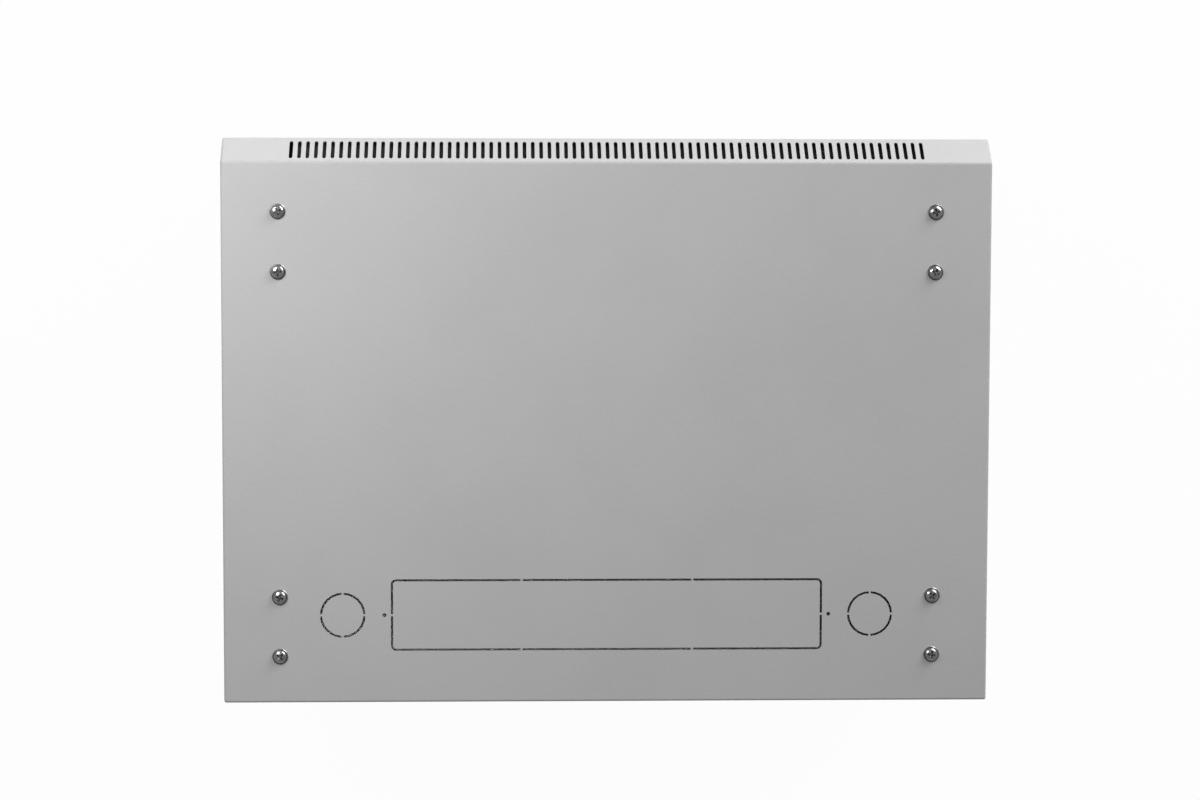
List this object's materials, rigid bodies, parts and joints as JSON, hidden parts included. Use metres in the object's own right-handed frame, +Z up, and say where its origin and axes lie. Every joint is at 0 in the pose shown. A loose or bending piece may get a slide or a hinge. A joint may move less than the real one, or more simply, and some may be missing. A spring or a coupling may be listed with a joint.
{
  "type": "rack cabinet",
  "caption": "Wall-mounted 19-inch rack cabinet of bent sheet steel with glass door, removable sides, slotted sloping edges and cable knock-outs.",
  "frame": {"origin": "middle of the footprint, at the underside of the bottom screw heads that the cabinet stands on", "axes": "+X to the right seen from the front, the door faces -Y, the wall is at +Y, +Z up"},
  "size_m": [0.6, 0.4416, 0.3752],
  "materials": {
    "powder_coat": "fine-textured light grey powder coat",
    "galvanised": "galvanised sheet, satin",
    "zinc_screw": "bright zinc plate",
    "lock_chrome": "nickel-chrome plated die casting",
    "cam_steel": "zinc-plated steel",
    "door_glass": "clear toughened glass",
    "black_foam": "black closed-cell foam",
    "nylon": "black nylon"
  },
  "bodies": {
    "cabinet": {"top_panel": "powder_coat", "bottom_panel": "powder_coat", "rear_panel": "powder_coat", "top_screws": "zinc_screw", "bottom_screws": "zinc_screw", "front_right_rail": "galvanised", "front_left_rail": "galvanised", "rear_right_post": "galvanised", "rear_left_post": "galvanised", "door_seals": "black_foam", "upper_hinge_pin": "zinc_screw", "lower_hinge_pin": "zinc_screw", "door_strike": "galvanised"},
    "door": {"door_frame": "powder_coat", "door_glass": "door_glass", "glass_seal": "black_foam", "glass_retainers": "galvanised", "upper_hinge_bush": "nylon", "lower_hinge_bush": "nylon", "door_lock_body": "lock_chrome", "door_lock_nut": "cam_steel"},
    "door_cam": {"door_lock_plug": "lock_chrome", "door_lock_cam": "cam_steel"},
    "right_side": {"right_side_panel": "powder_coat", "right_lock_body": "lock_chrome", "right_lock_nut": "cam_steel"},
    "right_cam": {"right_lock_plug": "lock_chrome", "right_lock_cam": "cam_steel"},
    "left_side": {"left_side_panel": "powder_coat", "left_lock_body": "lock_chrome", "left_lock_nut": "cam_steel"},
    "left_cam": {"left_lock_plug": "lock_chrome", "left_lock_cam": "cam_steel"}
  },
  "joints": [
    {"name": "door_hinge", "type": "hinge", "parent": "cabinet", "child": "door", "pos_m": [-0.293, -0.20575, 0.1876], "axis": [0, 0, -1], "range_deg": [0, 110]},
    {"name": "door_lock_turn", "type": "hinge", "parent": "door", "child": "door_cam", "pos_m": [0.277, -0.21875, 0.1876], "axis": [0, -1, 0], "range_deg": [0, 90]},
    {"name": "right_panel_tilt", "type": "hinge", "parent": "cabinet", "child": "right_side", "pos_m": [0.29865, 0, 0.0236], "axis": [0, 1, 0], "range_deg": [0, 25]},
    {"name": "right_lock_turn", "type": "hinge", "parent": "right_side", "child": "right_cam", "pos_m": [0.2985, 0.0018, 0.3304], "axis": [1, 0, 0], "range_deg": [0, 90]},
    {"name": "left_panel_tilt", "type": "hinge", "parent": "cabinet", "child": "left_side", "pos_m": [-0.29865, 0, 0.0236], "axis": [0, -1, 0], "range_deg": [0, 25]},
    {"name": "left_lock_turn", "type": "hinge", "parent": "left_side", "child": "left_cam", "pos_m": [-0.2985, 0.0018, 0.3304], "axis": [1, 0, 0], "range_deg": [0, 90]}
  ]
}
